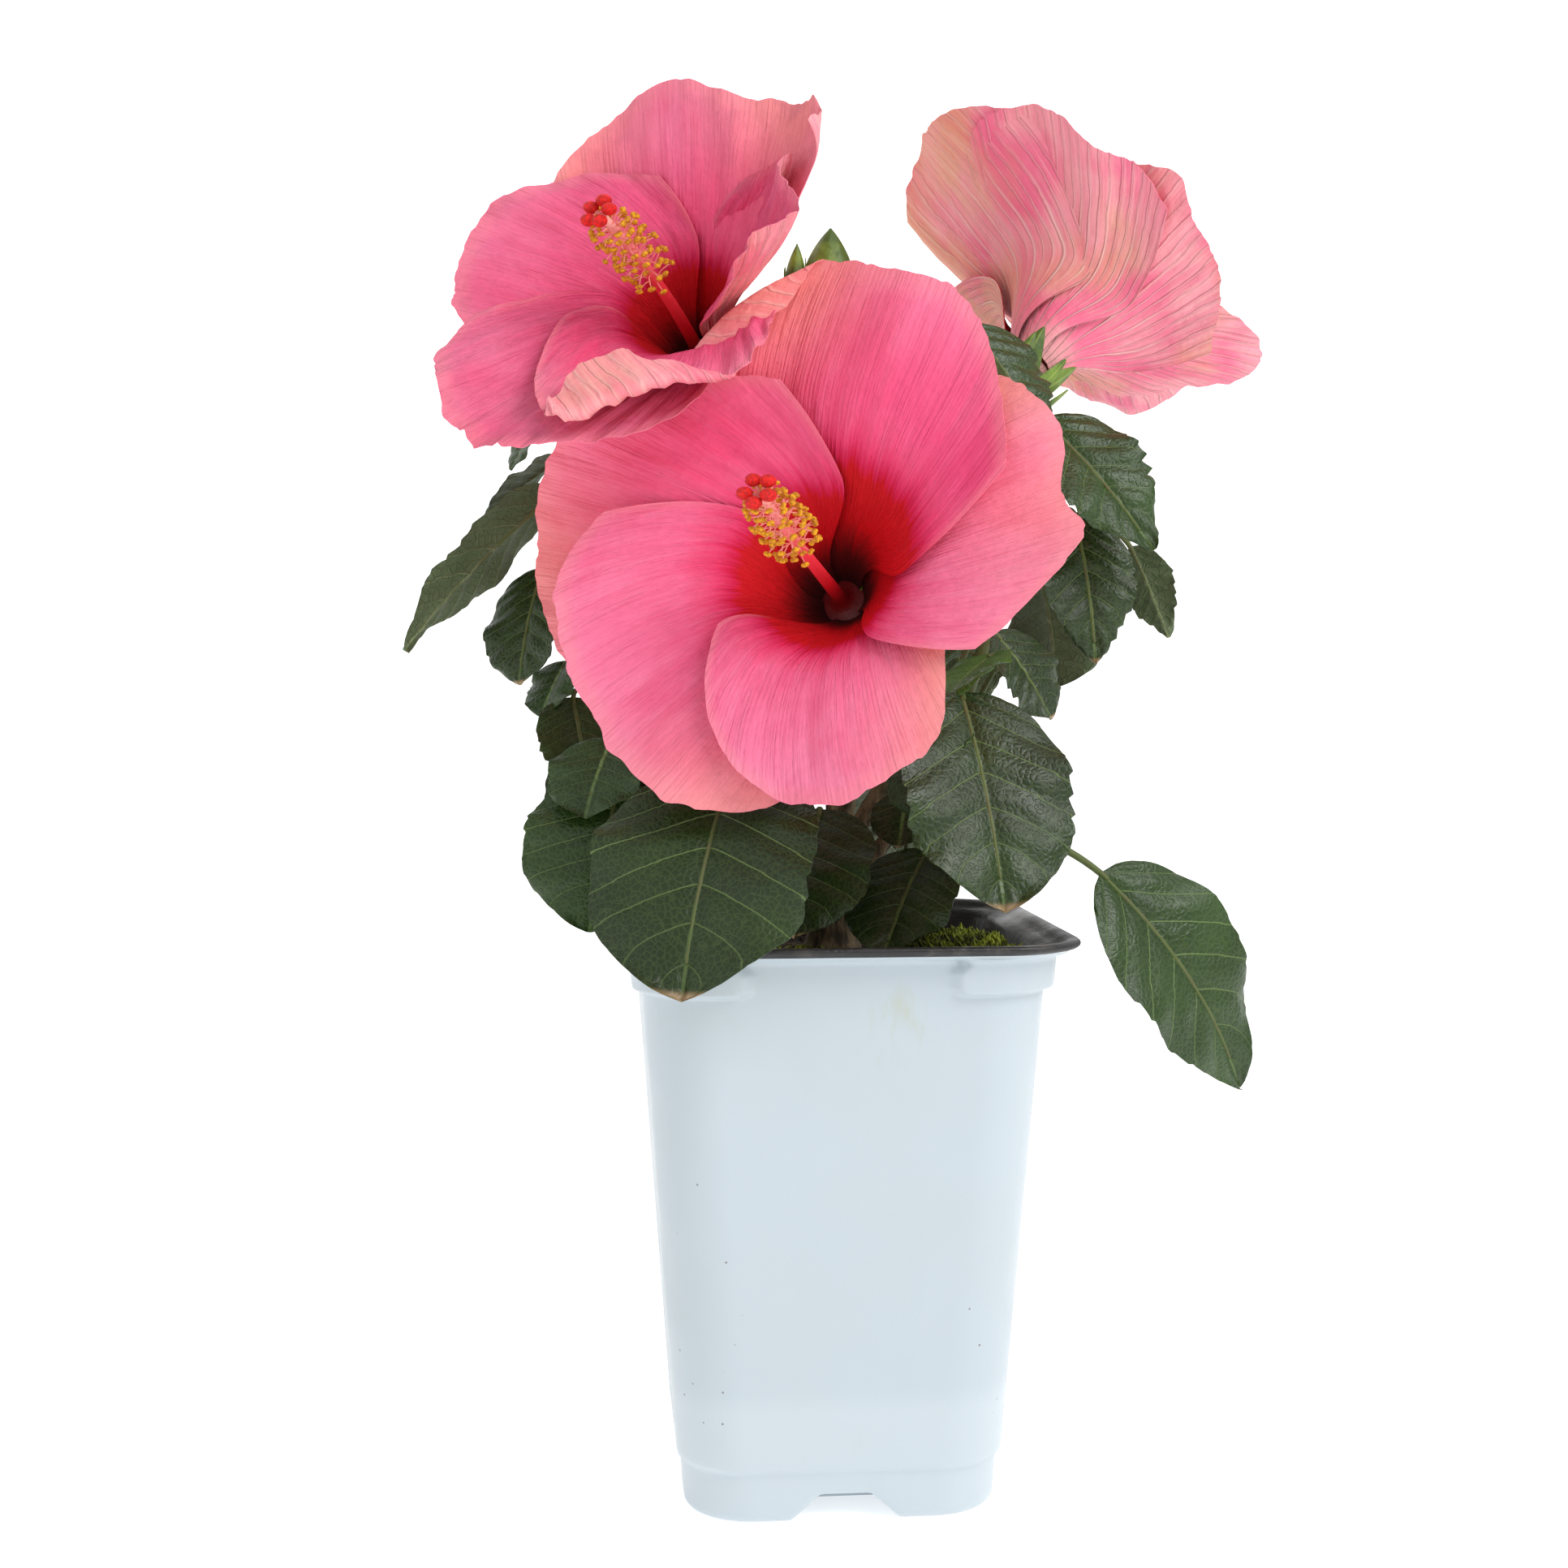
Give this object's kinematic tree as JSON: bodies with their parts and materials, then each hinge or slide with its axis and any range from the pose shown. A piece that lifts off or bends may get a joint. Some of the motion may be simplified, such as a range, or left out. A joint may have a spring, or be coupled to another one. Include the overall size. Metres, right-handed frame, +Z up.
{
  "type": "potted hibiscus shrub",
  "caption": "Young hibiscus shrub with open pink blooms, buds and glossy leaves, growing in a tall square nursery pot that stands on its flat underside.",
  "frame": {"origin": "middle of the pot's flat underside, on the ground it stands on", "axes": "+Z up, +X to the right and -Y to the front, where the largest bloom faces; the pot's sides are square to X and Y"},
  "size_m": [0.2397, 0.1646, 0.3776],
  "materials": {
    "pot": "white moulded nursery-pot plastic with a faint blue cast, light scuffs and dust, black inside and on the rolled rim",
    "soil": "dark peat substrate with bark fibres",
    "moss": "cushions of short yellow-green moss",
    "bark": "thin grey-brown bark, greener on young shoots",
    "leaf": "dark glossy green leaf with pale green veins, matt and paler underneath",
    "petal": "pink petal with crimson throat, salmon margins and fine radial veins",
    "column": "pink staminal column with yellow anthers and red stigma pads",
    "calyx": "fresh green calyx, pedicel and bud"
  },
  "bodies": {
    "root": {"pot": "pot", "soil": "soil", "moss_right": "moss", "moss_left": "moss", "trunk": "bark", "buds": "calyx", "bough_front": "bark", "bough_left": "bark", "bough_right": "bark", "bough_back": "bark", "bough_side_left": "bark", "bough_side_right": "bark", "bough_low_left": "bark", "bough_low_right": "bark", "bough_low_back": "bark", "foliage_left": "leaf", "foliage_right": "leaf", "foliage_back": "leaf", "foliage_side_left": "leaf", "foliage_side_right": "leaf", "foliage_low_left": "leaf", "foliage_low_right": "leaf", "foliage_low_back": "leaf", "corolla_front": "petal", "column_front": "column", "calyx_front": "calyx", "corolla_left": "petal", "column_left": "column", "calyx_left": "calyx", "corolla_right": "petal", "column_right": "column", "calyx_right": "calyx"}
  },
  "joints": []
}
